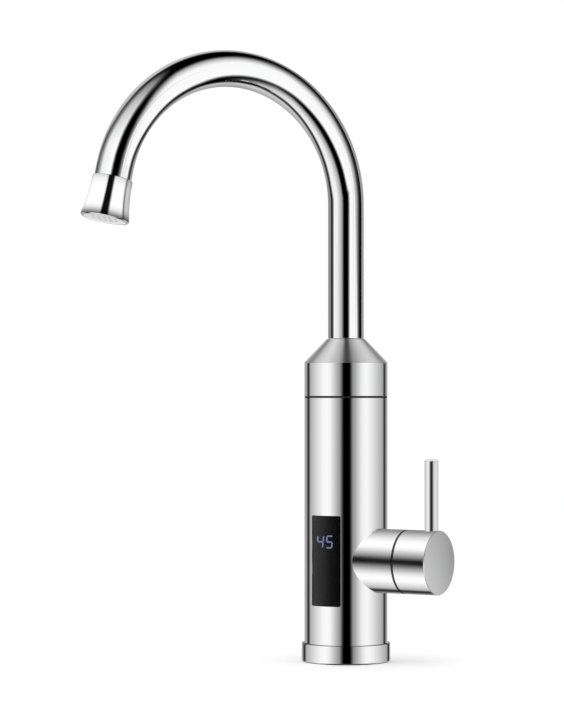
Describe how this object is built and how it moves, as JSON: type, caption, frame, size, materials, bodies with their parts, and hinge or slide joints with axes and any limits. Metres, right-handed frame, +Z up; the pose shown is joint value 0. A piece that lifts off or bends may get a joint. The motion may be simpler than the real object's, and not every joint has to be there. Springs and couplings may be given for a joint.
{
  "type": "electric instant water heater tap",
  "caption": "Deck-mounted kitchen tap with a swivel gooseneck spout, a tubular body that heats water as it flows, a side lever and a lit temperature display.",
  "frame": {"origin": "centre of the base on the deck plane, on the body's and shank's axis", "axes": "+Z up along the body, -Y towards the display, +X along the handle's barrel"},
  "size_m": [0.1558, 0.1798, 0.4228],
  "materials": {
    "chrome": "mirror polished",
    "steel": "satin stainless",
    "brass": "turned, unpolished",
    "black_rubber": "matt",
    "black_plastic": "matt",
    "white_plastic": "matt",
    "ceramic": "lapped",
    "circuit_board": "solder resist",
    "smoked_lens": "gloss",
    "led_bars": "lit"
  },
  "bodies": {
    "tap_body": {"base_ring": "chrome", "body_shell": "chrome", "top_collar": "chrome", "handle_housing": "chrome", "clamp_washer": "steel", "switch_body_screws": "steel", "switch_bracket": "steel", "microswitch_screws": "steel", "chamber_lid": "steel", "heating_chamber": "steel", "lid_screws": "steel", "heating_element": "steel", "element_terminals": "steel", "board_screws": "steel", "plunger_spring": "steel", "threaded_shank": "brass", "lock_nut": "brass", "valve_block": "brass", "valve_bonnet": "brass", "outlet_socket": "brass", "temperature_probe": "brass", "seam_ring": "black_rubber", "deck_gasket": "black_rubber", "clamp_rubber": "black_rubber", "cord_grommet": "black_rubber", "bonnet_o_ring": "black_rubber", "disc_seal": "black_rubber", "flow_diaphragm": "black_rubber", "chamber_seal": "black_rubber", "neck_o_ring": "black_rubber", "bottom_cover": "black_plastic", "handle_bush": "black_plastic", "microswitch": "black_plastic", "thermal_cutout": "black_plastic", "led_module": "black_plastic", "board_chips": "black_plastic", "inlet_strainer": "white_plastic", "thrust_washer": "white_plastic", "switch_base": "white_plastic", "switch_cover": "white_plastic", "glide_ring": "white_plastic", "fixed_disc": "ceramic", "display_board": "circuit_board", "display_window": "smoked_lens", "led_digits": "led_bars"},
    "spout": {"spout_tube": "chrome", "outlet_adapter": "chrome", "spout_ferrule": "brass", "spout_o_rings": "black_rubber", "outlet_housing": "chrome", "outlet_washer": "black_rubber", "aerator_insert": "white_plastic"},
    "handle": {"handle_cap": "chrome", "lever_rod": "chrome", "grub_screw": "steel", "valve_spindle": "brass", "spindle_o_ring": "black_rubber", "moving_disc": "ceramic"},
    "flow_plunger": {"flow_plunger": "white_plastic"}
  },
  "joints": [
    {"name": "spout_swivel", "type": "hinge", "parent": "tap_body", "child": "spout", "pos_m": [0, 0, 0.17], "axis": [0, 0, 1], "continuous": true},
    {"name": "handle_turn", "type": "hinge", "parent": "tap_body", "child": "handle", "pos_m": [0, 0, 0.0611], "axis": [1, 0, 0], "range_deg": [-90, 90]},
    {"name": "plunger_slide", "type": "slide", "parent": "tap_body", "child": "flow_plunger", "axis": [0, 0, 1], "range_m": [0, 0.002], "stiffness_N_per_m": 150, "springref_m": -0.002, "deforming": ["plunger_spring"]}
  ]
}
